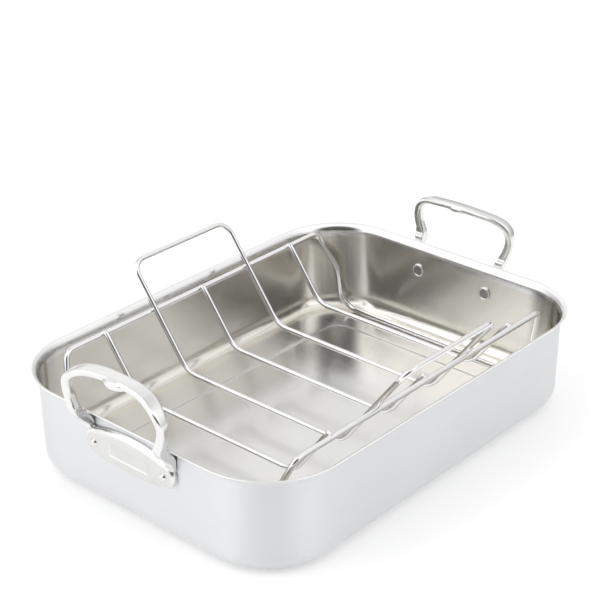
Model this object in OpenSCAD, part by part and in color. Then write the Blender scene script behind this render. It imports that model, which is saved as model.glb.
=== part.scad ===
// Roasting pan with a V-shaped wire rack. Millimetres, +Z up.
// Origin: centre of the resting face. X runs along the pan, a handle on each
// X end. The rack stands loose in the pan and lifts straight out along +Z.

/* [Pan] */
// Length over the rim, along X
pan_l = 420; // [390:1:450]
// Width over the rim, along Y
pan_w = 308; // [296:1:330]
// Height from the resting face to the rim
pan_h = 88; // [86:0.5:91]
// Corner radius of the rim in plan
corner_r = 68; // [64:1:72]
// Sheet thickness
wall_t = 1.2; // [1:0.1:1.4]
// Radius of the outward flare under the rim
lip_r = 7.6; // [7:0.1:8.2]
// Outside radius between wall and floor
bottom_r = 14; // [13:0.5:15.5]
// How far the wall leans in from the flare down to the floor radius
draft = 1.1; // [0.6:0.1:1.6]
// Distance from the wall face to the stepped floor panel
step_in = 47.2; // [44:0.2:50]
// Height of the floor step
step_h = 0.8; // [0.5:0.1:1]

/* [Handles] */
// Distance of each rivet from the middle of the handle
rivet_y = 38.5; // [37.5:0.5:39.5]
// Height of the rivets
rivet_z = 61; // [59.5:0.5:62.5]
// Rivet shank diameter
rivet_d = 5; // [4.4:0.2:5.4]
// Diameter of the flat rivet head inside the pan
rivet_head_d = 13; // [12:0.5:14]
// Thickness of the riveted base plate
plate_t = 5.2; // [4.8:0.2:5.6]
// Half length of the base plate
plate_y = 49.5; // [48.5:0.5:50.5]
// Height of the grip centre line in the middle
grip_z = 132.6; // [130:0.2:135]
// Half width of the loop between the two grip corners, before rounding
grip_y = 59.7; // [57:0.1:62]
// Width of the flattened grip
grip_w = 12.8; // [12:0.2:14]
// Thickness of the grip
grip_h = 7.4; // [6.8:0.2:8]

/* [Rack] */
// Diameter of the frame wire
wire_d = 5; // [4.6:0.1:5.2]
// Diameter of the cross wires
cross_d = 4.8; // [4.4:0.1:5]
// Distance of each top rail from the middle
rail_y = 127.4; // [125:0.2:129]
// Height of the top rails
rail_z = 89; // [87:0.5:91]
// Half length of the top rails, before rounding
rail_x = 157.4; // [155:0.2:159]
// Spacing of the cross wires
pitch = 58.2; // [56:0.2:60]
// Half width of the flat bottom of the cross wires
base_y = 87.4; // [85:0.2:90]
// Height of the flat bottom of the cross wires
base_z = 42.5; // [41:0.5:44]
// Height of the lifting bails
bail_z = 127.8; // [125:0.2:130]

/* [Hidden] */
$fn = 96;

cx = pan_l/2 - corner_r;             // corner centres in plan
cy = pan_w/2 - corner_r;
lip_a = 72;                          // how far the flare turns
lip_o = lip_r*(1 - cos(lip_a));      // overhang of the flare
lip_z = pan_h - (lip_r + wall_t)*sin(lip_a);
r_w = corner_r - lip_o;              // wall face, measured from a corner centre
r_f = r_w - draft - bottom_r;        // where the flat floor ends
f_z = step_h + bottom_r;             // centre height of the floor radius
r_p = r_w - step_in;                 // edge of the floor panel
tilt = atan(draft/(lip_z - f_z));    // lean of the wall
wall_x = pan_l/2 - lip_o - draft*(lip_z - rivet_z)/(lip_z - f_z);

// handle: n out of the wall, y along it, z up from the resting face
leg_y = 44.4;
leg_n = 14;
top_n = 15.2;
mid_n = 8.1;
cor_z = grip_z - 8.4;
cor_r = 19;
lean = 6;                            // the flat of the grip tips outward
root_w = 8.6;
root_y = 45.4;

// rack
slope = atan((bail_z - base_z)/(151 - base_y));
weld_y = base_y + (rail_z - base_z)/tan(slope);
bail_y = 151;
foot_z = step_h + wall_t + wire_d/2 + 0.6;
kink = [rail_x + 14.9, rail_y - 14.3, 51.4];
foot = [rail_x + 27.9, rail_y - 9.6, foot_z];

steel = [0.80, 0.81, 0.82];
cast = [0.86, 0.86, 0.86];
wire_c = [0.74, 0.75, 0.77];

function unit(v) = v/norm(v);
function arc(c, r, a0, a1, n) =
    [for (i = [0:n]) let(a = a0 + (a1 - a0)*i/n) [c[0] + r*cos(a), c[1] + r*sin(a)]];
function lerp(a, b, t) = a + (b - a)*t;
function ease(t) = t*t*(3 - 2*t);

// rotation that carries the axes onto the unit vectors x, y, z
function eul(x, y, z) =
    let(s = max(-1, min(1, -x[2])))
    abs(s) > 0.999999 ? [atan2(-z[1], y[1]), asin(s), 0]
                      : [atan2(y[2], z[2]), asin(s), atan2(x[1], x[0])];

module rod(a, b, d) {
    u = unit(b - a);
    translate(a) rotate([0, acos(u[2]), atan2(u[1], u[0])]) cylinder(h = norm(b - a), d = d);
}

// half bend allowance at point i of a wire
function allow(P, R, i, closed) =
    let(n = len(P))
    (!closed && (i == 0 || i == n - 1)) ? 0 :
    let(u = unit(P[i] - P[(i + n - 1)%n]), v = unit(P[(i + 1)%n] - P[i]),
        th = acos(max(-1, min(1, u*v))))
    R[i]*tan(th/2);

// joint of a straight and a bend, its poles on the wire's line
module ball(p, w, d) {
    translate(p) rotate([0, acos(w[2]), atan2(w[1], w[0])]) sphere(d = d);
}

// round wire through the points P with bend radii R; a slightly fuller ball
// joins each straight length to its bend
module wire(P, R, d, closed = false) {
    n = len(P);
    g = 0.12;
    union() {
        for (i = [0:closed ? n - 1 : n - 2]) {
            j = (i + 1)%n;
            w = unit(P[j] - P[i]);
            ti = allow(P, R, i, closed);
            tj = allow(P, R, j, closed);
            rod(P[i] + w*(ti > 0 ? ti + g : 0), P[j] - w*(tj > 0 ? tj + g : 0), d);
            if (ti > 0) ball(P[i] + w*ti, w, d + 0.06);
            if (tj > 0) ball(P[j] - w*tj, w, d + 0.06);
        }
        for (i = [closed ? 0 : 1:closed ? n - 1 : n - 2]) {
            u = unit(P[i] - P[(i + n - 1)%n]);
            v = unit(P[(i + 1)%n] - P[i]);
            m = unit(v - u*(u*v));
            b = cross(u, m);
            translate(P[i] - u*allow(P, R, i, closed) + m*R[i])
                rotate(eul(-m, cross(b, -m), b))
                    rotate_extrude(angle = acos(u*v)) translate([R[i], 0]) circle(d = d);
        }
    }
}

// ---- pan ----
// section through floor, wall and flare; x is measured from a corner centre
module section() {
    polygon(concat(
        [[0, 0], [r_p, 0], [r_p + 1.6, step_h]],
        arc([r_f, f_z], bottom_r, -90, 0, 14),
        arc([r_w + lip_r, lip_z], lip_r, 180, 180 - lip_a, 10),
        arc([r_w + lip_r, lip_z], lip_r + wall_t, 180 - lip_a, 180, 10),
        arc([r_f, f_z], bottom_r - wall_t, 0, -90, 14),
        [[r_p + 1.2, step_h + wall_t], [r_p - 0.4, wall_t], [0, wall_t]]));
}

module pan_body() {
    color(steel) difference() {
        union() {
            for (sx = [0, 1], sy = [0, 1])
                mirror([sx, 0, 0]) mirror([0, sy, 0])
                    translate([cx, cy, 0]) rotate_extrude(angle = 90) section();
            for (s = [0, 1]) {
                mirror([0, s, 0]) translate([-cx, cy, 0]) rotate([90, 0, 90])
                    linear_extrude(height = 2*cx) section();
                mirror([s, 0, 0]) translate([cx, cy, 0]) rotate([90, 0, 0])
                    linear_extrude(height = 2*cy) section();
            }
            translate([-cx, -cy, 0]) cube([2*cx, 2*cy, wall_t]);
        }
        for (s = [0, 1], t = [-1, 1])
            mirror([s, 0, 0]) on_wall() translate([-8, t*rivet_y, 0])
                rotate([0, 90, 0]) cylinder(h = 16, d = rivet_d + 0.1);
    }
}

// ---- handles ----
// wall frame: x out of the wall face, z up from the rivet line
module on_wall() {
    translate([wall_x, 0, rivet_z]) rotate([0, tilt, 0]) children();
}

// outline of the base plate, inset by e; y and z above the rivet line
function plate_low(y) = -14.2 + 2.3*pow(y/30, 2);
function plate_top(y) = 18.7 - 5.7*pow(y/40, 2);
module plate_shape(e) {
    c = 11;                              // length of the rounded ends
    m = plate_y - e - c;
    low = [for (i = [-12:12]) let(y = m*i/12) [y, plate_low(y) + e]];
    top = [for (i = [12:-1:-12]) let(y = m*i/12) [y, plate_top(y) - e]];
    h = (plate_top(m) - plate_low(m))/2 - e;
    end = [for (p = arc([0, 0], 1, -90, 90, 16))
               [m + p[0]*c, (plate_low(m) + plate_top(m))/2 + p[1]*h]];
    n = len(end);
    polygon(concat(low, [for (i = [1:n - 2]) end[i]], top,
                   [for (i = [n - 2:-1:1]) [-end[i][0], end[i][1]]]));
}

// root block that carries a leg out under the flare
module root_shape() {
    z0 = rivet_z;
    polygon([[0, 7.5], [plate_t - 1.8, 8], [plate_t - 0.2, 73.5 - z0], [6.4, 77.4 - z0],
             [8.9, 79.8 - z0], [12.1, 82.8 - z0], [14.6, 85.7 - z0], [16.4, 88.4 - z0],
             [17.6, 91.4 - z0], [18.1, 94 - z0], [18.2, 97 - z0], [10.3, 97 - z0],
             [10.2, 93 - z0], [7.9, 92.7 - z0], [7, 92 - z0], [6.7, 90.5 - z0],
             [6.6, 87.5 - z0], [5.8, 86.1 - z0], [3.8, 84.6 - z0],
             [2.1, 82.4 - z0], [0.9, 80 - z0], [0, 77.8 - z0]]);
}

// centre line of the loop in y and z: leg, rounded corner, bowed grip
function loop_pts() =
    let(F = [leg_y, 88], B = [grip_y, cor_z], M = [0, grip_z],
        d1 = unit(B - F), d2 = unit([-1, 0.235]),
        th = acos(d1*d2), t = cor_r*tan(th/2),
        c = B - d1*t + cor_r*[-d1[1], d1[0]],
        a0 = atan2(-d1[0], d1[1]),
        q = B + d2*t,
        S = F + d1*(93 - F[1])/d1[1])
    concat(
        [for (i = [0:3]) S + (B - d1*t - S)*i/4],
        [for (i = [0:8]) c + cor_r*[cos(a0 + th*i/8), sin(a0 + th*i/8)]],
        [for (i = [1:7]) let(s = 1 - i/7)
            [q[0]*s, grip_z + (q[1] - grip_z)*s*s + 0.9*(1 - s)*s]]);

module handle() {
    H = loop_pts();
    m = len(H);
    W = concat(H, [for (i = [m - 2:-1:0]) [-H[i][0], H[i][1]]]);
    k = len(W);
    q = 24;
    pts = [for (i = [0:k - 1])
        let(y = W[i][0], z = W[i][1],
            a = W[max(i - 1, 0)], b = W[min(i + 1, k - 1)],
            td = unit(b - a),                        // travel direction
            nv = [td[1], -td[0]],                    // away from the opening
            g = ease(max(0, min(1, (z - 109)/22))),  // 0 on the leg, 1 on the grip
            w = 1 - pow(min(1, abs(y)/(grip_y - 6)), 2),
            n = lerp(lerp(leg_n, top_n, (z - 88)/(cor_z - 88)), mid_n, z > cor_z - 12 ? ease(w) : 0),
            hb = lerp(4.1, grip_w/2, g),                     // half width out of the loop
            ha = lerp(4.3, grip_h/2, g),                     // half thickness in the loop
            t = lean*g)
        for (j = [0:q - 1])
            let(f = 360*j/q,
                ge = ease(max(0, min(1, (z - 90)/40))),
                e = lerp(0.65, sin(f) > 0 ? 0.55 : 0.9, ge),     // flat top, round below
                u0 = hb*sign(cos(f))*pow(abs(cos(f)), e),
                v0 = ha*sign(sin(f))*pow(abs(sin(f)), e),
                u = u0*cos(t) + v0*sin(t),
                v = -u0*sin(t) + v0*cos(t))
            [n + u, y + v*nv[0], z + v*nv[1] - rivet_z]];
    faces = concat(
        [for (i = [0:k - 2], j = [0:q - 1])
            [i*q + j, (i + 1)*q + j, i*q + (j + 1)%q]],
        [for (i = [0:k - 2], j = [0:q - 1])
            [i*q + (j + 1)%q, (i + 1)*q + j, (i + 1)*q + (j + 1)%q]],
        [for (j = [1:q - 2]) [0, j, j + 1]],
        [for (j = [1:q - 2]) [(k - 1)*q, (k - 1)*q + j + 1, (k - 1)*q + j]]);
    color(cast) on_wall() difference() {
        union() {
            polyhedron(points = pts, faces = faces, convexity = 6);
            // root blocks
            for (s = [-1, 1])
                translate([0, s*root_y + root_w/2, 0]) rotate([90, 0, 0])
                    linear_extrude(height = root_w) root_shape();
            // base plate, its bevelled edge in steps
            rotate([90, 0, 90]) linear_extrude(height = plate_t - 3) plate_shape(0);
            rotate([90, 0, 90]) linear_extrude(height = plate_t - 1.2) plate_shape(1);
            rotate([90, 0, 90]) linear_extrude(height = plate_t) plate_shape(2.6);
            // oval boss in the middle of the grip
            translate([mid_n + 1.2, 0, grip_z - rivet_z - 0.7]) rotate([0, lean, 0]) {
                for (s = [-1, 1]) translate([0, s*5, -3.9]) cylinder(h = 7.8, d = 17);
                translate([-8.5, -5, -3.9]) cube([17, 10, 7.8]);
            }
        }
        // bare sunk panel between the rivets
        translate([plate_t - 0.7, -20.8, -5]) cube([2, 41.6, 10.4]);
        for (s = [-1, 1])
            translate([-3, s*rivet_y, 0]) rotate([0, 90, 0]) cylinder(h = 16, d = rivet_d + 0.1);
    }
}

module handle_right() handle();
module handle_left() mirror([1, 0, 0]) handle();

// ---- rivets ----
module rivet(s) {
    h = 2.2;
    rb = 3.8;
    R = (rb*rb + h*h)/(2*h);
    color(cast) on_wall() translate([0, s*rivet_y, 0]) rotate([0, 90, 0]) {
        translate([0, 0, -wall_t - 1]) cylinder(h = wall_t + 1 + plate_t + 0.5, d = rivet_d);
        intersection() {
            translate([0, 0, plate_t + h - R]) sphere(r = R);
            translate([0, 0, plate_t]) cylinder(h = h + 1, r = 5);
        }
        // head inside the pan, dished in its middle
        difference() {
            translate([0, 0, -wall_t - 1.8]) cylinder(h = 1.8, d = rivet_head_d);
            translate([0, 0, -wall_t - 2.8]) cylinder(h = 1.6, d = rivet_head_d - 3.8);
        }
    }
}
module rivet_right_a() rivet(1);
module rivet_right_b() rivet(-1);
module rivet_left_a() mirror([1, 0, 0]) rivet(1);
module rivet_left_b() mirror([1, 0, 0]) rivet(-1);

// ---- rack ----
module rack_frame() {
    P = [[-rail_x, rail_y, rail_z], [rail_x, rail_y, rail_z],
         kink, foot, [foot[0], -foot[1], foot[2]], [kink[0], -kink[1], kink[2]],
         [rail_x, -rail_y, rail_z], [-rail_x, -rail_y, rail_z],
         [-kink[0], -kink[1], kink[2]], [-foot[0], -foot[1], foot[2]],
         [-foot[0], foot[1], foot[2]], [-kink[0], kink[1], kink[2]]];
    R = [10, 10, 24, 16, 16, 24, 10, 10, 24, 16, 16, 24];
    color(wire_c) wire(P, R, wire_d, true);
}

module rack_lifting_loop() {
    P = [[-pitch, base_y, base_z], [-pitch, bail_y, bail_z],
         [pitch, bail_y, bail_z], [pitch, base_y, base_z],
         [pitch, -base_y, base_z], [pitch, -bail_y, bail_z],
         [-pitch, -bail_y, bail_z], [-pitch, -base_y, base_z]];
    color(wire_c) wire(P, [24, 13, 13, 24, 24, 13, 13, 24], cross_d, true);
}

module cross_wire(x) {
    e = wire_d/2 + 0.8;
    P = [[x, weld_y + e/tan(slope), rail_z + e], [x, base_y, base_z],
         [x, -base_y, base_z], [x, -weld_y - e/tan(slope), rail_z + e]];
    color(wire_c) wire(P, [0, 24, 24, 0], cross_d, false);
}
module cross_wire_a() cross_wire(-2*pitch);
module cross_wire_b() cross_wire(0);
module cross_wire_c() cross_wire(2*pitch);

pan_body();
handle_left();
handle_right();
rivet_left_a();
rivet_left_b();
rivet_right_a();
rivet_right_b();
rack_frame();
rack_lifting_loop();
cross_wire_a();
cross_wire_b();
cross_wire_c();
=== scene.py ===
import math
import random

import bmesh
import bpy
from mathutils import Matrix, Vector


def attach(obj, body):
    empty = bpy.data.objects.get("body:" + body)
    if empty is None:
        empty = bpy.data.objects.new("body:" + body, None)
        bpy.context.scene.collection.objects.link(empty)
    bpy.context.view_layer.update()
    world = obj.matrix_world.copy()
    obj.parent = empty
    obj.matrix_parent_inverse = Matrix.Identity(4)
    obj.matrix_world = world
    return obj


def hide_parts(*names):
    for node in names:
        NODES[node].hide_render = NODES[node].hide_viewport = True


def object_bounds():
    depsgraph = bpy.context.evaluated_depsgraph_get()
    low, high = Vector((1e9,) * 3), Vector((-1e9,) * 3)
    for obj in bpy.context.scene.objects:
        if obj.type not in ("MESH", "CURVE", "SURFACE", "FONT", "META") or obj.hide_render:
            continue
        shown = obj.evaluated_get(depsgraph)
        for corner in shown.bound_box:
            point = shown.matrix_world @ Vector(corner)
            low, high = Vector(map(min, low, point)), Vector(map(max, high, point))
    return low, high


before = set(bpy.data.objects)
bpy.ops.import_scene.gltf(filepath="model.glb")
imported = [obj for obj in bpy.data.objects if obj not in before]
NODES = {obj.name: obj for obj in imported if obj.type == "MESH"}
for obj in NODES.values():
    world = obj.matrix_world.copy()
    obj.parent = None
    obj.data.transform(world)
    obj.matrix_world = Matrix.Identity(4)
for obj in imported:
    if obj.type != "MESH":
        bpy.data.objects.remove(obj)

CAD_BOX = [[float(c) for c in v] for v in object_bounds()]
SC = bpy.context.scene
MM = 0.001

# ------------------------------------------------------------------ sizes, mm
PAN_L, PAN_W, PAN_H = 420.0, 308.0, 88.0
COR_R, WALL, LIP_R, LIP_A, BOT_R, DRAFT = 68.0, 1.2, 7.6, 72.0, 14.0, 1.1
STEP_IN, STEP_H = 47.2, 0.8
CX, CY = PAN_L / 2 - COR_R, PAN_W / 2 - COR_R
LIP_O = LIP_R * (1 - math.cos(math.radians(LIP_A)))
LIP_Z = PAN_H - (LIP_R + WALL) * math.sin(math.radians(LIP_A))
R_W = COR_R - LIP_O
R_F = R_W - DRAFT - BOT_R
F_Z = STEP_H + BOT_R
R_P = R_W - STEP_IN
TILT = math.atan(DRAFT / (LIP_Z - F_Z))
RIV_Z, RIV_Y = 61.0, 38.5
WALL_X = PAN_L / 2 - LIP_O - DRAFT * (LIP_Z - RIV_Z) / (LIP_Z - F_Z)


# ------------------------------------------------------------------ helpers
def add_object(name, verts, faces, mat=None, uvs=None, smooth=True, scale=MM):
    me = bpy.data.meshes.new(name)
    me.from_pydata([tuple(c * scale for c in v) for v in verts], [], faces)
    if uvs is not None:
        lay = me.uv_layers.new(name="UVMap")
        for poly in me.polygons:
            for k, li in enumerate(poly.loop_indices):
                lay.data[li].uv = uvs[poly.index][k]
    me.update()
    if smooth:
        me.polygons.foreach_set("use_smooth", [True] * len(me.polygons))
    ob = bpy.data.objects.new(name, me)
    SC.collection.objects.link(ob)
    if mat:
        me.materials.append(mat)
    return ob


def outward(ob):
    """Consistent normals, pointing out of the closed shell."""
    bm = bmesh.new()
    bm.from_mesh(ob.data)
    bmesh.ops.recalc_face_normals(bm, faces=bm.faces)
    bm.to_mesh(ob.data)
    bm.free()


def arc(cx, cz, r, a0, a1, n):
    return [(cx + r * math.cos(math.radians(a0 + (a1 - a0) * i / n)),
             cz + r * math.sin(math.radians(a0 + (a1 - a0) * i / n))) for i in range(n + 1)]


def smooth01(t):
    t = max(0.0, min(1.0, t))
    return t * t * (3 - 2 * t)


# ------------------------------------------------------------------ materials
class Mat:
    """Small builder for node materials."""

    def __init__(self, name):
        self.m = bpy.data.materials.new(name)
        self.m.use_nodes = True
        self.t = self.m.node_tree
        self.b = self.t.nodes["Principled BSDF"]
        self.L = self.t.links.new

    def node(self, kind, **kw):
        n = self.t.nodes.new(kind)
        for k, v in kw.items():
            setattr(n, k, v)
        return n

    def coords(self, which="Object", scale=(1, 1, 1), rot=(0, 0, 0)):
        tc = self.node("ShaderNodeTexCoord")
        mp = self.node("ShaderNodeMapping")
        mp.inputs["Scale"].default_value = scale
        mp.inputs["Rotation"].default_value = rot
        self.L(tc.outputs[which], mp.inputs["Vector"])
        return mp.outputs["Vector"]

    def noise(self, vec, scale=1.0, detail=2.0, rough=0.5, dist=0.0):
        n = self.node("ShaderNodeTexNoise")
        n.inputs["Scale"].default_value = scale
        n.inputs["Detail"].default_value = detail
        n.inputs["Roughness"].default_value = rough
        n.inputs["Distortion"].default_value = dist
        self.L(vec, n.inputs["Vector"])
        return n.outputs["Fac"]

    def remap(self, fac, a, b, c, d):
        n = self.node("ShaderNodeMapRange")
        n.inputs["From Min"].default_value = a
        n.inputs["From Max"].default_value = b
        n.inputs["To Min"].default_value = c
        n.inputs["To Max"].default_value = d
        self.L(fac, n.inputs["Value"])
        return n.outputs["Result"]

    def math(self, op, a, b=None):
        n = self.node("ShaderNodeMath", operation=op)
        for i, x in enumerate((a, b)):
            if x is None:
                continue
            if isinstance(x, (int, float)):
                n.inputs[i].default_value = x
            else:
                self.L(x, n.inputs[i])
        return n.outputs[0]

    def mixc(self, fac, c1, c2):
        n = self.node("ShaderNodeMix", data_type="RGBA")
        self.L(fac, n.inputs[0])
        for i, c in ((6, c1), (7, c2)):
            if isinstance(c, tuple):
                n.inputs[i].default_value = (*c, 1)
            else:
                self.L(c, n.inputs[i])
        return n.outputs[2]

    def bump(self, h, strength, dist, prev=None):
        n = self.node("ShaderNodeBump")
        n.inputs["Strength"].default_value = strength
        n.inputs["Distance"].default_value = dist
        self.L(h, n.inputs["Height"])
        if prev is not None:
            self.L(prev, n.inputs["Normal"])
        return n.outputs["Normal"]


def scratches(M, which, scale, rot, lo=0.66, hi=0.72):
    """Sparse hairlines: one noise stretched out along a line, cut near its top."""
    v = M.coords(which, scale, rot)
    f = M.noise(v, 1.0, 1.0, 0.4)
    return M.remap(f, lo, hi, 0.0, 1.0)


def steel(name, col_a, col_b, rough, aniso, arot, brush, brush_amt, which="UV", blotch=22.0,
          blot_amt=0.05, hair=0.15, spec=0.5):
    M = Mat(name)
    b = M.b
    b.inputs["Metallic"].default_value = 1.0
    b.inputs["Anisotropic"].default_value = aniso
    b.inputs["Anisotropic Rotation"].default_value = arot
    obj = M.coords("Object")
    # broad tone and haze left by polishing and wiping
    big = M.noise(obj, blotch, 3.0, 0.55, 0.6)
    mid = M.noise(obj, blotch * 5, 3.0, 0.6)
    b_col = M.mixc(M.remap(big, 0.3, 0.7, 0, 1), col_a, col_b)
    # grain, drawn out along the brushing direction
    g1 = M.noise(M.coords(which, brush), 1.0, 4.0, 0.7)
    g2 = M.noise(M.coords(which, tuple(c * 0.23 for c in brush)), 1.0, 2.0, 0.5)
    grain = M.math("ADD", M.math("MULTIPLY", g1, 0.65), M.math("MULTIPLY", g2, 0.35))
    col = M.mixc(M.remap(grain, 0.35, 0.65, 0.0, 0.35), b_col, tuple(c * 0.93 for c in col_a))
    h = scratches(M, "Object", (260, 7, 90), (0.3, 0.2, 0.7))
    h2 = scratches(M, "Object", (9, 300, 60), (0.1, 0.4, -0.5))
    sc = M.math("MULTIPLY", M.math("MAXIMUM", h, h2), hair)
    M.L(col, b.inputs["Base Color"])
    r = M.math("ADD", M.remap(big, 0.3, 0.7, rough - blot_amt, rough + blot_amt),
               M.remap(mid, 0.3, 0.7, -blot_amt * 0.4, blot_amt * 0.4))
    r = M.math("ADD", r, M.remap(grain, 0.3, 0.7, -0.03, 0.04))
    r = M.math("ADD", r, M.math("MULTIPLY", sc, 0.5))
    M.L(r, b.inputs["Roughness"])
    n = M.bump(grain, brush_amt, 0.00012)
    n = M.bump(sc, 0.25, 0.0001, n)
    M.L(n, b.inputs["Normal"])
    if which == "UV":
        tg = M.node("ShaderNodeTangent", direction_type="UV_MAP", uv_map="UVMap")
        M.L(tg.outputs[0], b.inputs["Tangent"])
    return M.m


PAN_OUT = steel("pan_satin_steel", (0.80, 0.805, 0.815), (0.775, 0.78, 0.79), 0.40, 0.85, 0.25,
                (10, 2400, 1), 0.010, blotch=7.0, blot_amt=0.018, hair=0.05)
PAN_IN = steel("pan_inside_steel", (0.80, 0.779, 0.728), (0.775, 0.752, 0.698), 0.18, 0.72, 0.25,
               (8, 1500, 1), 0.010, blotch=6.0, blot_amt=0.015, hair=0.06)
PAN_FLOOR = steel("pan_floor_steel", (0.79, 0.786, 0.775), (0.77, 0.764, 0.752), 0.205, 0.2, 0.0,
                  (5, 700, 1), 0.004, which="Object", blotch=6.0, blot_amt=0.01, hair=0.04)
LIP = steel("pan_rim_steel", (0.84, 0.84, 0.84), (0.82, 0.82, 0.82), 0.14, 0.2, 0.25,
            (14, 2200, 1), 0.03, blotch=8.0, blot_amt=0.012, hair=0.04)
# the cut edge of the sheet round the rim, lighter in colour than the lip: a painted highlight along the rim line
RIM_EDGE_HIGHLIGHT = steel("pan_rim_edge_painted_highlight", (0.96, 0.96, 0.955), (0.94, 0.94, 0.935), 0.40, 0.0, 0.0,
             (300, 300, 300), 0.02, which="Object", blotch=20.0, blot_amt=0.02, hair=0.03)
CAST = steel("handle_cast_steel", (0.84, 0.84, 0.83), (0.81, 0.81, 0.80), 0.22, 0.0, 0.0,
             (900, 900, 900), 0.05, which="Object", blotch=30.0, blot_amt=0.02, hair=0.05)
# the plate's flat face: rougher than the rest of the casting, and darker in colour as painted shade
CAST_PLATE_SHADE = steel("handle_plate_face_painted_shade", (0.75, 0.745, 0.735), (0.72, 0.715, 0.70), 0.33, 0.0, 0.0,
                  (1500, 1500, 1500), 0.10, which="Object", blotch=40.0, blot_amt=0.03, hair=0.03)
RIVET = steel("rivet_steel", (0.80, 0.79, 0.77), (0.76, 0.75, 0.73), 0.18, 0.0, 0.0,
              (1400, 1400, 1400), 0.05, which="Object", blotch=70.0, blot_amt=0.03, hair=0.05)
# the dished centre of the inside head: rougher, and darker in colour as painted shade in the dish
RIVET_DISH_SHADE = steel("rivet_dished_face_painted_shade", (0.40, 0.39, 0.375), (0.30, 0.295, 0.28), 0.48, 0.0, 0.0,
                   (2600, 2600, 2600), 0.35, which="Object", blotch=260.0, blot_amt=0.08, hair=0.1)
# the floor step's riser, darker in colour: painted shade along the crease
CREASE_SHADE = steel("pan_floor_crease_painted_shade", (0.62, 0.61, 0.585), (0.58, 0.57, 0.545), 0.34, 0.0, 0.0,
               (5, 700, 1), 0.01, which="Object", blotch=20.0, blot_amt=0.03, hair=0.03)
WIRE = steel("rack_wire_steel", (0.865, 0.862, 0.858), (0.835, 0.832, 0.828), 0.075, 0.0, 0.0,
             (40, 900, 1), 0.03, blotch=20.0, blot_amt=0.015, hair=0.03)


# ------------------------------------------------------------------ the pan
def plan_ring(r, ns_x=16, ns_y=12, nc=30):
    """Points of the rounded rectangle at radius r about the corner centres."""
    pts = []
    cs = [(CX, CY, 0), (-CX, CY, 90), (-CX, -CY, 180), (CX, -CY, 270)]
    for k, (x, y, a0) in enumerate(cs):
        for i in range(nc + 1):
            a = math.radians(a0 + 90 * i / nc)
            pts.append((x + r * math.cos(a), y + r * math.sin(a)))
        nx, ny, na = cs[(k + 1) % 4]
        a = math.radians(a0 + 90)
        p = (x + r * math.cos(a), y + r * math.sin(a))
        q = (nx + r * math.cos(a), ny + r * math.sin(a))
        n = ns_x if k % 2 == 0 else ns_y
        for i in range(1, n):
            pts.append((p[0] + (q[0] - p[0]) * i / n, p[1] + (q[1] - p[1]) * i / n))
    return pts


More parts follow.
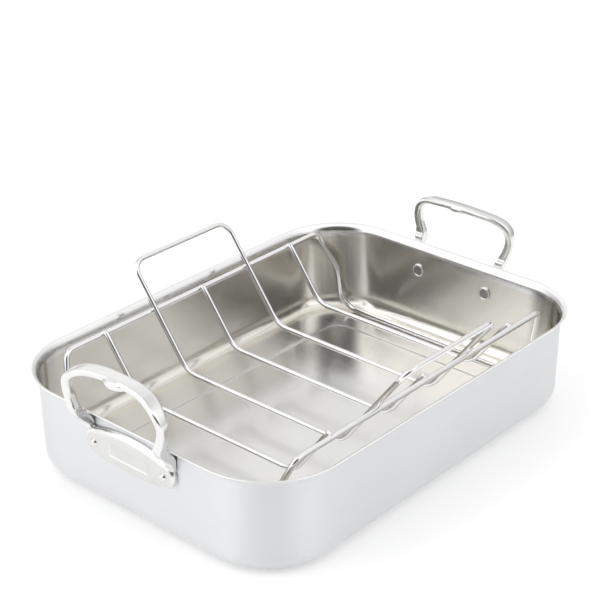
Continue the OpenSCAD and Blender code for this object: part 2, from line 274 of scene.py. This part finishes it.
def build_pan():
    prof, zone = [], []

    def put(pts, z):
        for p in pts:
            prof.append(p)
            zone.append(z)

    t = WALL
    put([(2.0, t), (9.0, t), (R_P - 1.3, t), (R_P - 0.9, t + 0.03), (R_P - 0.55, t + 0.11)], 2)
    # the step's riser, which takes the crease material with its painted shade
    put([(R_P + 0.35, t + 0.4), (R_P + 1.25, t + 0.69)], 4)
    put([(R_P + 1.6, t + 0.77), (R_P + 2.0, t + STEP_H)], 2)
    put([(R_P + (R_F - R_P) * k, t + STEP_H) for k in (0.3, 0.6, 0.93)], 2)
    put(arc(R_F, F_Z, BOT_R - t, -90, 0, 22), 1)
    z0, z1 = F_Z, LIP_Z
    for k in (0.1, 0.3, 0.5, 0.7, 0.85, 0.94):
        put([(R_F + BOT_R - t + DRAFT * k, z0 + (z1 - z0) * k)], 1)
    inner = arc(R_W + LIP_R, LIP_Z, LIP_R + t, 180, 183 - LIP_A, 18)
    outer = arc(R_W + LIP_R, LIP_Z, LIP_R, 183 - LIP_A, 180, 18)
    put(inner[:-6], 3)
    put(inner[-6:-1], 5)
    # rounded edge between the two sides of the sheet
    ex, ez = inner[-1]
    ox, oz = outer[0]
    mx, mz = (ex + ox) / 2, (ez + oz) / 2
    a0 = math.degrees(math.atan2(ez - mz, ex - mx))
    put([(mx + t / 2 * math.cos(math.radians(a0 - 180 * i / 6)) * 0.98,
          mz + t / 2 * math.sin(math.radians(a0 - 180 * i / 6)) * 0.98) for i in range(7)], 5)
    put(outer[1:5], 3)
    put(outer[5:], 0)
    for k in (0.94, 0.85, 0.7, 0.5, 0.3, 0.1):
        put([(R_F + BOT_R + DRAFT * k, z0 + (z1 - z0) * k)], 0)
    put(arc(R_F, F_Z, BOT_R, 0, -90, 24), 0)
    put([(R_F - 4, STEP_H), (R_P + 3, STEP_H), (R_P + 1.6, STEP_H), (R_P + 0.8, 0.35),
         (R_P, 0.0), (R_P - 2, 0.0), (2.0, 0.0)], 0)

    rings = [plan_ring(r) for r, _ in prof]
    n = len(rings[0])
    verts = [(x, y, prof[i][1]) for i, ring in enumerate(rings) for x, y in ring]
    # run along the section, for the grain
    run = [0.0]
    for i in range(1, len(prof)):
        run.append(run[-1] + math.hypot(prof[i][0] - prof[i - 1][0], prof[i][1] - prof[i - 1][1]))
    along = [0.0]
    mid = plan_ring(R_W)
    for j in range(1, n + 1):
        a, b = mid[j - 1], mid[j % n]
        along.append(along[-1] + math.hypot(a[0] - b[0], a[1] - b[1]))
    faces, uvs, mats = [], [], []
    for i in range(len(prof) - 1):
        for j in range(n):
            k = (j + 1) % n
            faces.append((i * n + j, i * n + k, (i + 1) * n + k, (i + 1) * n + j))
            u0, u1 = along[j] * MM, along[j + 1] * MM
            uvs.append([(u0, run[i] * MM), (u1, run[i] * MM), (u1, run[i + 1] * MM), (u0, run[i + 1] * MM)])
            zz = zone[i + 1]
            mats.append(zz)
    for i, m in ((0, 2), (len(prof) - 1, 0)):
        # flat middle, as one face across the ring's points
        ring = [i * n + j for j in range(n)]
        if i:
            ring = ring[::-1]
        faces.append(tuple(ring))
        uvs.append([(verts[v][0] * MM, verts[v][1] * MM) for v in ring])
        mats.append(m)
    ob = add_object("pan_shell", verts, faces, None, uvs)
    for m in (PAN_OUT, PAN_IN, PAN_FLOOR, LIP, CREASE_SHADE, RIM_EDGE_HIGHLIGHT):
        ob.data.materials.append(m)
    ob.data.polygons.foreach_set("material_index", mats)
    outward(ob)
    return ob


pan = build_pan()
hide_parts("pan_body")
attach(pan, "pan")


# ------------------------------------------------------------------ handles
LEG_Y, LEG_N, TOP_N, MID_N = 44.4, 14.0, 15.2, 8.1
GRIP_Z, GRIP_Y, GRIP_W, GRIP_H = 132.6, 59.7, 12.8, 7.4
COR_Z, BEND_R, LEAN = GRIP_Z - 8.4, 19.0, 6.0
PLATE_T, PLATE_Y, ROOT_W, ROOT_Y = 5.2, 49.5, 8.6, 45.4


def unit(v):
    d = math.sqrt(sum(c * c for c in v))
    return tuple(c / d for c in v)


def loop_line(z_low=92.4):
    F, B = (LEG_Y, 88.0), (GRIP_Y, COR_Z)
    d1 = unit((B[0] - F[0], B[1] - F[1]))
    d2 = unit((-1, 0.235))
    th = math.acos(d1[0] * d2[0] + d1[1] * d2[1])
    # a bend that comes in gradually, so the straight and the curve meet without a break in the shine
    t = BEND_R * (1 / math.cos(th / 2) - 1) * 2 / math.sin(th / 2)
    s0 = (B[0] - d1[0] * t, B[1] - d1[1] * t)
    q = (B[0] + d2[0] * t, B[1] + d2[1] * t)
    k0 = (z_low - F[1]) / d1[1]
    st = (F[0] + d1[0] * k0, z_low)
    out = [(st[0] + (s0[0] - st[0]) * i / 14, st[1] + (s0[1] - st[1]) * i / 14) for i in range(14)]
    for i in range(31):
        u = i / 30
        out.append(tuple(s0[k] * (1 - u) ** 2 + 2 * B[k] * u * (1 - u) + q[k] * u * u for k in (0, 1)))
    for i in range(1, 25):
        s = 1 - i / 24
        out.append((q[0] * s, GRIP_Z + (q[1] - GRIP_Z) * s * s + 0.9 * (1 - s) * s))
    return out


def loop_mesh():
    H = loop_line()
    W = H + [(-y, z) for y, z in H[-2::-1]]
    k, q = len(W), 48
    verts, faces = [], []
    for i, (y, z) in enumerate(W):
        a, b = W[max(i - 1, 0)], W[min(i + 1, k - 1)]
        td = unit((b[0] - a[0], b[1] - a[1]))
        nv = (td[1], -td[0])
        g = smooth01((z - 109) / 22)
        w = 1 - min(1, abs(y) / (GRIP_Y - 6)) ** 2
        n = LEG_N + (TOP_N - LEG_N) * (z - 88) / (COR_Z - 88)
        if z > COR_Z - 12:
            n += (MID_N - n) * smooth01(w)
        hb = 4.1 + (GRIP_W / 2 - 4.1) * g
        ha = 4.3 + (GRIP_H / 2 - 4.3) * g
        t = math.radians(LEAN * g)
        ge = smooth01((z - 90) / 40)
        for j in range(q):
            f = 2 * math.pi * j / q
            e = 0.6 + ((0.5 if math.sin(f) > 0 else 0.86) - 0.6) * ge
            u0 = hb * math.copysign(abs(math.cos(f)) ** e, math.cos(f))
            v0 = ha * math.copysign(abs(math.sin(f)) ** e, math.sin(f))
            u = u0 * math.cos(t) + v0 * math.sin(t)
            v = -u0 * math.sin(t) + v0 * math.cos(t)
            verts.append((n + u, y + v * nv[0], z + v * nv[1] - RIV_Z))
    for i in range(k - 1):
        for j in range(q):
            faces.append((i * q + j, i * q + (j + 1) % q, (i + 1) * q + (j + 1) % q, (i + 1) * q + j))
    faces.append(tuple(range(q)))
    faces.append(tuple((k - 1) * q + j for j in range(q))[::-1])
    return verts, faces


def prism(poly, y0, y1):
    """Polygon in (n, z) pushed along y; its top leans outward with the leg of the loop."""
    n = len(poly)
    lean = math.copysign(0.38, y0)
    verts = [(a, y + lean * max(0.0, b - 27.5), b) for y in (y0, y1) for a, b in poly]
    faces = [tuple(range(n)), tuple(range(2 * n - 1, n - 1, -1))]
    faces += [(i, n + i, n + (i + 1) % n, (i + 1) % n) for i in range(n)]
    return verts, faces


def plate_low(y):
    return -14.2 + 2.3 * (y / 30) ** 2


def plate_top(y):
    return 18.7 - 5.7 * (y / 40) ** 2


def plate_outline(e, et=None):
    et = e if et is None else et
    c = 11.0
    m = PLATE_Y - e - c
    low = [(m * i / 20, plate_low(m * i / 20) + e) for i in range(-20, 21)]
    top = [(m * i / 20, plate_top(m * i / 20) - et) for i in range(20, -21, -1)]
    cz = (low[-1][1] + top[0][1]) / 2
    h = (top[0][1] - low[-1][1]) / 2
    end = [(m + c * math.cos(t), cz + h * math.sin(t))
           for t in [math.radians(-90 + 180 * i / 20) for i in range(1, 20)]]
    return low + end + top + [(-y, z) for y, z in end[::-1]]


def plate_mesh():
    rings = [(0.0, 0.0, 1.0), (0.5, 0.0, 0.0), (1.3, 0.0, 0.15), (2.2, 0.05, 0.75), (3.0, 0.25, 1.5), (3.7, 0.6, 2.3),
             (4.3, 1.05, 3.2), (4.8, 1.6, 4.2), (5.1, 2.2, 5.1), (PLATE_T, 3.0, 6.1)]
    verts, faces = [], []
    n = None
    for x, e, et in rings:
        o = plate_outline(e, et)
        n = len(o)
        verts += [(x, y, z) for y, z in o]
    for i in range(len(rings) - 1):
        for j in range(n):
            faces.append((i * n + j, i * n + (j + 1) % n, (i + 1) * n + (j + 1) % n, (i + 1) * n + j))
    faces.append(tuple(range(n))[::-1])
    faces.append(tuple((len(rings) - 1) * n + j for j in range(n)))
    return verts, faces


def boss_mesh():
    """Oval pad in the middle of the grip, tipped with its flat."""
    verts, faces = [], []
    A, B, C, q, p = 13.4, 8.5, 3.9, 40, 16
    t = math.radians(LEAN)
    c0 = (MID_N + 1.2, GRIP_Z - RIV_Z - 0.7)
    for i in range(p + 1):
        la = -math.pi / 2 + math.pi * i / p
        cl = max(abs(math.cos(la)) ** 0.55, 1e-3)
        h = C * math.copysign(abs(math.sin(la)) ** 0.7, math.sin(la))
        for j in range(q):
            f = 2 * math.pi * j / q
            y = A * cl * math.cos(f)
            u = B * cl * math.sin(f)
            verts.append((c0[0] + u * math.cos(t) + h * math.sin(t), y,
                          c0[1] - u * math.sin(t) + h * math.cos(t)))
    for i in range(p):
        for j in range(q):
            faces.append((i * q + j, i * q + (j + 1) % q, (i + 1) * q + (j + 1) % q, (i + 1) * q + j))
    faces.append(tuple(range(q))[::-1])
    faces.append(tuple(p * q + j for j in range(q)))
    return verts, faces


ROOT = [(0.3, 8.0), (PLATE_T - 1.8, 8.4), (PLATE_T - 0.2, 12.6), (6.4, 16.4), (8.9, 18.8), (12.1, 21.8),
        (14.6, 24.7), (16.4, 27.4), (17.6, 30.4), (18.1, 33.0), (18.2, 36.0), (10.4, 36.0), (10.2, 32.0), (8.2, 31.6),
        (7.3, 31.1),
        (6.9, 30.2), (6.7, 29.0), (6.6, 26.5), (5.8, 25.1), (3.8, 23.6), (2.1, 21.4), (0.9, 19.0),
        (0.3, 17.4)]


def build_handle(name, side):
    verts, faces = [], []

    def add(vf):
        o = len(verts)
        verts.extend(vf[0])
        faces.extend(tuple(o + i for i in f) for f in vf[1])

    add(loop_mesh())
    for s in (-1, 1):
        add(prism(ROOT, s * ROOT_Y - ROOT_W / 2, s * ROOT_Y + ROOT_W / 2))
    add(plate_mesh())
    add(boss_mesh())
    ob = add_object(name, verts, faces)
    bm = bmesh.new()
    bm.from_mesh(ob.data)
    bmesh.ops.recalc_face_normals(bm, faces=bm.faces)
    bm.to_mesh(ob.data)
    bm.free()
    mod = ob.modifiers.new("union", "REMESH")
    mod.mode = "VOXEL"
    mod.voxel_size = 0.00052
    sm = ob.modifiers.new("cast", "SMOOTH")
    sm.factor = 0.5
    sm.iterations = 6
    dg = bpy.context.evaluated_depsgraph_get()
    me = bpy.data.meshes.new_from_object(ob.evaluated_get(dg))
    ob.modifiers.clear()
    ob.data = me
    # the bare sunk panel between the rivets
    for v in me.vertices:
        n, y, z = v.co.x / MM, v.co.y / MM, v.co.z / MM
        if n > PLATE_T - 1.2 and abs(y) < 30 and -9 < z < 12:
            d = max(abs(y) - 20.8, abs(z - 0.2) - 5.2)
            v.co.x -= MM * 0.7 * smooth01(0.5 - d / 0.7)
    # from the wall frame to the row frame
    ca, sa = math.cos(TILT), math.sin(TILT)
    for v in me.vertices:
        n, y, z = v.co
        x = WALL_X * MM + n * ca + z * sa
        zz = RIV_Z * MM - n * sa + z * ca
        v.co = (side * min(x, CAD_BOX[1][0]), y, zz)
    if side < 0:
        me.flip_normals()
    me.polygons.foreach_set("use_smooth", [True] * len(me.polygons))
    me.materials.clear()
    me.materials.append(CAST)
    me.materials.append(CAST_PLATE_SHADE)
    # the plate's flat faces take the darker plate material, its darker colour painted shade
    mi = [0] * len(me.polygons)
    for poly in me.polygons:
        c = poly.center
        top = 0.0815 if abs(c.y) < 0.039 else 0.0725
        if c.z < top and abs(poly.normal.x) > 0.93 and abs(c.x) < (WALL_X + PLATE_T + 1.2) * MM:
            mi[poly.index] = 1
    me.polygons.foreach_set("material_index", mi)
    me.update()
    return ob


for nm, sd in (("handle_right", 1), ("handle_left", -1)):
    h = build_handle(nm + "_cast", sd)
    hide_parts(nm)
    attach(h, "pan")


# ------------------------------------------------------------------ rivets
def build_rivet(name, side, y):
    """Lathe section along the rivet's axis: inside head, shank, outside dome."""
    hr = 6.5
    sec = [(0.0, -WALL - 1.28), (2.4, -WALL - 1.24), (3.9, -WALL - 1.2), (4.3, -WALL - 1.21), (4.6, -WALL - 1.3),
           (4.75, -WALL - 1.5), (4.9, -WALL - 1.68), (5.2, -WALL - 1.78), (5.6, -WALL - 1.76), (6.0, -WALL - 1.6),
           (6.3, -WALL - 1.3), (6.45, -WALL - 0.9), (hr, -WALL - 0.4), (hr, -WALL - 0.1), (6.4, -WALL), (2.5, -WALL),
           (2.5, PLATE_T - 0.2), (3.8, PLATE_T - 0.2)]
    h, rb = 2.2, 3.8
    R = (rb * rb + h * h) / (2 * h)
    a1 = math.asin(rb / R)
    for i in range(0, 13):
        a = a1 * (1 - i / 12)
        sec.append((R * math.sin(a), PLATE_T + h - R + R * math.cos(a)))
    q = 48
    verts, faces = [], []
    ids = []
    for r, n in sec:
        if r < 1e-6:
            ids.append([len(verts)] * q)
            verts.append((n, 0.0, 0.0))
        else:
            ids.append([len(verts) + j for j in range(q)])
            verts += [(n, r * math.cos(2 * math.pi * j / q), r * math.sin(2 * math.pi * j / q))
                      for j in range(q)]
    for i in range(len(sec) - 1):
        for j in range(q):
            k = (j + 1) % q
            f = []
            for v in (ids[i][j], ids[i][k], ids[i + 1][k], ids[i + 1][j]):
                if v not in f:
                    f.append(v)
            faces.append(tuple(f))
    ca, sa = math.cos(TILT), math.sin(TILT)
    out = []
    for n, a, b in verts:
        out.append((side * (WALL_X + n * ca + b * sa), y + a, RIV_Z - n * sa + b * ca))
    ob = add_object(name, out, faces, RIVET)
    ob.data.materials.append(RIVET_DISH_SHADE)
    # the dished centre of the inside head takes the darker material, painted shade
    ob.data.polygons.foreach_set("material_index", [1 if i < 4 * q else 0 for i in range(len(faces))])
    outward(ob)
    return ob


for nm, sd, yy in (("rivet_right_a", 1, RIV_Y), ("rivet_right_b", 1, -RIV_Y),
                   ("rivet_left_a", -1, RIV_Y), ("rivet_left_b", -1, -RIV_Y)):
    r = build_rivet(nm + "_set", sd, yy)
    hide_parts(nm)
    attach(r, "pan")


# ------------------------------------------------------------------ the rack
WIRE_D, CROSS_D = 5.0, 4.8
RAIL_X, RAIL_Y, RAIL_Z = 157.4, 127.4, 89.0
PITCH, BASE_Y, BASE_Z = 58.2, 87.4, 42.5
BAIL_Y, BAIL_Z = 151.0, 127.8
SLOPE = math.atan((BAIL_Z - BASE_Z) / (BAIL_Y - BASE_Y))
WELD_Y = BASE_Y + (RAIL_Z - BASE_Z) / math.tan(SLOPE)
FOOT_Z = STEP_H + WALL + WIRE_D / 2 + 0.6
KX, KY, KZ = RAIL_X + 14.9, RAIL_Y - 14.3, 51.4
FX, FY = RAIL_X + 27.9, RAIL_Y - 9.6


def centre_line(P, R, closed, step=5.0):
    """Points, 3-D, of a bent wire: straights with a bend of radius R at each point of P."""
    P = [Vector(p) for p in P]
    n = len(P)
    out = []
    for i in range(n):
        if not closed and i in (0, n - 1):
            out.append(P[i])
            continue
        u = (P[i] - P[i - 1]).normalized()
        v = (P[(i + 1) % n] - P[i]).normalized()
        th = math.acos(max(-1, min(1, u.dot(v))))
        t = R[i] * math.tan(th / 2)
        m = (v - u * u.dot(v)).normalized()
        s = P[i] - u * t
        c = s + m * R[i]
        k = max(3, math.ceil(math.degrees(th) / step))
        for j in range(k + 1):
            a = th * j / k
            out.append(c - m * R[i] * math.cos(a) + u * R[i] * math.sin(a))
    return out


def tube(name, P, R, d, closed, mat, q=28, seg=12.0):
    raw = centre_line(P, R, closed)
    pts = [raw[0]]
    n = len(raw)
    for i in range(1, n + (1 if closed else 0)):
        a, b = raw[i - 1], raw[i % n]
        L = (b - a).length
        k = max(1, int(L / seg))
        for j in range(1, k + 1):
            if closed and i == n and j == k:
                continue
            pts.append(a.lerp(b, j / k))
    n = len(pts)
    # carried frame
    tan = []
    for i in range(n):
        a = pts[i - 1] if (closed or i > 0) else pts[0]
        b = pts[(i + 1) % n] if (closed or i < n - 1) else pts[-1]
        tan.append((b - a).normalized())
    ref = Vector((0, 0, 1)) if abs(tan[0].z) < 0.9 else Vector((1, 0, 0))
    nrm = [(ref - tan[0] * ref.dot(tan[0])).normalized()]
    for i in range(1, n):
        w = nrm[-1] - tan[i] * nrm[-1].dot(tan[i])
        nrm.append(w.normalized())
    twist = 0.0
    if closed:
        w = nrm[-1] - tan[0] * nrm[-1].dot(tan[0])
        w.normalize()
        twist = math.atan2(tan[0].dot(w.cross(nrm[0])), w.dot(nrm[0]))
    verts, faces, uvs = [], [], []
    run = 0.0
    runs = []
    rings = []

    def ring(c, t, nn, r, ang):
        b = t.cross(nn)
        ids = []
        for j in range(q):
            f = 2 * math.pi * j / q + ang
            ids.append(len(verts))
            verts.append(tuple(c + nn * (r * math.cos(f)) + b * (r * math.sin(f))))
        rings.append(ids)

    r = d / 2
    total = sum((pts[(i + 1) % n] - pts[i]).length for i in range(n if closed else n - 1))
    bevel = 0.45
    if not closed:
        ring(pts[0], tan[0], nrm[0], r - bevel, 0)
        runs.append(0)
        ring(pts[0] + tan[0] * bevel * 0.4, tan[0], nrm[0], r - bevel * 0.3, 0)
        runs.append(0.2)
        pts[0] = pts[0] + tan[0] * bevel
        end = pts[-1].copy()
        pts[-1] = pts[-1] - tan[-1] * bevel
    for i in range(n):
        if i:
            run += (pts[i] - pts[i - 1]).length
        runs.append(run)
        ring(pts[i], tan[i], nrm[i], r, twist * run / total if closed else 0)
    if not closed:
        ring(end - tan[-1] * bevel * 0.4, tan[-1], nrm[-1], r - bevel * 0.3, 0)
        runs.append(run + 0.2)
        ring(end, tan[-1], nrm[-1], r - bevel, 0)
        runs.append(run + 0.5)
    m = len(rings)
    for i in range(m if closed else m - 1):
        A, B = rings[i], rings[(i + 1) % m]
        ra, rb = runs[i], runs[i + 1] if i + 1 < m else total
        for j in range(q):
            k = (j + 1) % q
            faces.append((A[j], A[k], B[k], B[j]))
            va, vb = j / q * math.pi * d, (j + 1) / q * math.pi * d
            uvs.append([(ra * MM, va * MM), (ra * MM, vb * MM), (rb * MM, vb * MM), (rb * MM, va * MM)])
    if not closed:
        faces.append(tuple(rings[0][::-1]))
        uvs.append([(0, 0)] * q)
        faces.append(tuple(rings[-1]))
        uvs.append([(0, 0)] * q)
    ob = add_object(name, verts, faces, mat, uvs)
    outward(ob)
    return ob


def weld(x, s, d1=CROSS_D):
    """Fused metal in the crotch of a cross wire and its rail: a small pinched lens."""
    a = Vector((x, s * WELD_Y, RAIL_Z))
    b = Vector((x, s * RAIL_Y, RAIL_Z))
    dirw = Vector((0, s * math.cos(SLOPE), math.sin(SLOPE)))
    nrm = Vector((0, s * math.sin(SLOPE), -math.cos(SLOPE)))
    # the two axes are nearest along nrm from the cross wire
    k = (b - a).dot(nrm)
    near = b - nrm * k
    c = near + nrm * (k * 0.5)
    verts, faces = [], []
    q, p = 22, 10
    for i in range(p + 1):
        la = -math.pi / 2 + math.pi * i / p
        cl = max(math.cos(la), 1e-3)
        h = 1.75 * math.sin(la)
        for j in range(q):
            f = 2 * math.pi * j / q
            r = 2.9 * cl * (1 + 0.05 * math.sin(3 * f + x))
            v = c + Vector((1, 0, 0)) * (r * math.cos(f)) + dirw * (r * math.sin(f)) + nrm * h
            verts.append(tuple(v))
    for i in range(p):
        for j in range(q):
            faces.append((i * q + j, i * q + (j + 1) % q, (i + 1) * q + (j + 1) % q, (i + 1) * q + j))
    faces.append(tuple(range(q)))
    faces.append(tuple(p * q + j for j in range(q))[::-1])
    ob = add_object("weld", verts, faces, WIRE, [[(0, 0)] * len(f) for f in faces])
    outward(ob)
    return ob


def join(obs):
    a = obs[0]
    bm = bmesh.new()
    for o in obs:
        bm.from_mesh(o.data)
    bm.to_mesh(a.data)
    bm.free()
    for o in obs[1:]:
        bpy.data.objects.remove(o)
    return a


frame_wire = tube("rack_frame_wire", [
    (-RAIL_X, RAIL_Y, RAIL_Z), (RAIL_X, RAIL_Y, RAIL_Z), (KX, KY, KZ), (FX, FY, FOOT_Z),
    (FX, -FY, FOOT_Z), (KX, -KY, KZ), (RAIL_X, -RAIL_Y, RAIL_Z), (-RAIL_X, -RAIL_Y, RAIL_Z),
    (-KX, -KY, KZ), (-FX, -FY, FOOT_Z), (-FX, FY, FOOT_Z), (-KX, KY, KZ)],
    [10, 10, 24, 16, 16, 24, 10, 10, 24, 16, 16, 24], WIRE_D, True, WIRE)
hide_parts("rack_frame")

lift = tube("rack_lifting_wire", [
    (-PITCH, BASE_Y, BASE_Z), (-PITCH, BAIL_Y, BAIL_Z), (PITCH, BAIL_Y, BAIL_Z),
    (PITCH, BASE_Y, BASE_Z), (PITCH, -BASE_Y, BASE_Z), (PITCH, -BAIL_Y, BAIL_Z),
    (-PITCH, -BAIL_Y, BAIL_Z), (-PITCH, -BASE_Y, BASE_Z)],
    [24, 13, 13, 24, 24, 13, 13, 24], CROSS_D, True, WIRE)
lift = join([lift] + [weld(x, s) for x in (-PITCH, PITCH) for s in (-1, 1)])
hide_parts("rack_lifting_loop")

E = WIRE_D / 2 + 0.8
crosses = []
for nm, x in (("cross_wire_a", -2 * PITCH), ("cross_wire_b", 0.0), ("cross_wire_c", 2 * PITCH)):
    ty = WELD_Y + E / math.tan(SLOPE)
    c = tube(nm + "_bent", [(x, ty, RAIL_Z + E), (x, BASE_Y, BASE_Z), (x, -BASE_Y, BASE_Z),
                            (x, -ty, RAIL_Z + E)], [0, 24, 24, 0], CROSS_D, False, WIRE)
    c = join([c, weld(x, 1), weld(x, -1)])
    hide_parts(nm)
    crosses.append(c)
for o in [frame_wire, lift] + crosses:
    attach(o, "rack")


# ------------------------------------------------------------------ floor, light, camera
def stage_plane(name, size, loc, col, rough=0.9):
    M = Mat(name)
    M.b.inputs["Base Color"].default_value = (*col, 1)
    M.b.inputs["Roughness"].default_value = rough
    n = M.noise(M.coords("Object"), 3.0, 3.0)
    M.L(M.mixc(n, tuple(c * 0.99 for c in col), col), M.b.inputs["Base Color"])
    # lit from below, as a light table is
    M.b.inputs["Emission Color"].default_value = (1, 1, 1, 1)
    M.b.inputs["Emission Strength"].default_value = 0.25
    me = bpy.data.meshes.new(name)
    s = size / 2
    me.from_pydata([(-s, -s, 0), (s, -s, 0), (s, s, 0), (-s, s, 0)], [], [(0, 1, 2, 3)])
    ob = bpy.data.objects.new(name, me)
    ob.location = loc
    me.materials.append(M.m)
    SC.collection.objects.link(ob)
    return ob


stage_plane("floor", 14.0, (0, 0, -0.0004), (0.93, 0.93, 0.93))

# A white tent, as soft lobes (bearing, height, strength), darker where the photographer stands.
LOBES = [(0, 6, 0.00), (30, 6, 0.14), (60, 6, 0.32), (90, 6, 0.00), (120, 6, 0.47), (150, 6, 0.76),
         (180, 6, 0.28), (210, 6, 0.50), (240, 6, 0.42), (270, 6, 0.26), (300, 6, 0.40), (330, 6, 0.02),
         (0, 34, 0.33), (36, 34, 0.52), (72, 34, 0.61), (108, 34, 0.39), (144, 34, 0.62), (180, 34, 0.80),
         (216, 34, 1.11), (252, 34, 0.99), (288, 34, 0.27), (324, 34, 0.57), (0, 62, 0.38), (72, 62, 0.16),
         (144, 62, 0.18), (216, 62, 0.87), (288, 62, 0.52), (0, 90, 0.00)]
world = bpy.data.worlds.new("studio")
SC.world = world
world.use_nodes = True
wt = world.node_tree
bg = wt.nodes["Background"]
bg.inputs["Strength"].default_value = 1.0


def wmath(op, *args):
    n = wt.nodes.new("ShaderNodeMath")
    n.operation = op
    for k, x in enumerate(args):
        if isinstance(x, (int, float)):
            n.inputs[k].default_value = x
        else:
            wt.links.new(x, n.inputs[k])
    return n.outputs[0]


wcoord = wt.nodes.new("ShaderNodeTexCoord")
shade = None
for bearing, height, strength in LOBES:
    if strength <= 0:
        continue
    ba, he = math.radians(bearing), math.radians(height)
    n = wt.nodes.new("ShaderNodeVectorMath")
    n.operation = "DOT_PRODUCT"
    wt.links.new(wcoord.outputs["Generated"], n.inputs[0])
    n.inputs[1].default_value = (math.cos(he) * math.cos(ba), math.cos(he) * math.sin(ba), math.sin(he))
    lobe = wmath("EXPONENT", wmath("MULTIPLY_ADD", n.outputs["Value"], 9.0, -9.0))
    shade = wmath("MULTIPLY", lobe, strength) if shade is None else wmath("MULTIPLY_ADD", lobe, strength, shade)
# the dark room behind the camera
gd = wt.nodes.new("ShaderNodeVectorMath")
gd.operation = "DOT_PRODUCT"
wt.links.new(wcoord.outputs["Generated"], gd.inputs[0])
gd.inputs[1].default_value = (-0.685, -0.615, 0.39)
gap = wt.nodes.new("ShaderNodeMapRange")
gap.interpolation_type = "SMOOTHSTEP"
for k, v in (("From Min", 0.66), ("From Max", 0.93), ("To Min", 1.0), ("To Max", 0.06)):
    gap.inputs[k].default_value = v
wt.links.new(gd.outputs["Value"], gap.inputs["Value"])
shade = wmath("MULTIPLY", shade, gap.outputs["Result"])
comb = wt.nodes.new("ShaderNodeCombineColor")
for k in range(3):
    wt.links.new(shade, comb.inputs[k])
wt.links.new(comb.outputs[0], bg.inputs["Color"])


def area(name, loc, aim, size, size_y, power, col=(1, 1, 1)):
    li = bpy.data.lights.new(name, "AREA")
    li.shape = "RECTANGLE"
    li.size, li.size_y = size, size_y
    li.energy = power
    li.color = col
    ob = bpy.data.objects.new(name, li)
    ob.location = loc
    d = Vector(aim) - Vector(loc)
    ob.rotation_euler = d.to_track_quat("-Z", "Y").to_euler()
    SC.collection.objects.link(ob)
    return ob


area("key", (-1.0, 1.3, 2.4), (0, 0, 0), 1.2, 1.2, 5)

# camera, solved from the photograph
f_px = 1631.693
az, el, roll = (math.radians(a) for a in (41.769, 26.550, -0.488))
fw = Vector((math.cos(el) * math.cos(az), math.cos(el) * math.sin(az), -math.sin(el)))
rt = Vector((math.sin(az), -math.cos(az), 0))
up = rt.cross(fw)
r2 = rt * math.cos(roll) + up * math.sin(roll)
u2 = -rt * math.sin(roll) + up * math.cos(roll)
cam = bpy.data.cameras.new("cam")
cam.sensor_width = 36
cam.sensor_fit = "HORIZONTAL"
cam.lens = f_px / 600 * 36
cam.clip_start = 0.05
cam.clip_end = 50
co = bpy.data.objects.new("cam", cam)
co.matrix_world = Matrix(((r2.x, u2.x, -fw.x, -0.916527), (r2.y, u2.y, -fw.y, -0.810314),
                          (r2.z, u2.z, -fw.z, 0.730064), (0, 0, 0, 1)))
SC.collection.objects.link(co)
SC.camera = co
SC.view_settings.view_transform = "Standard"
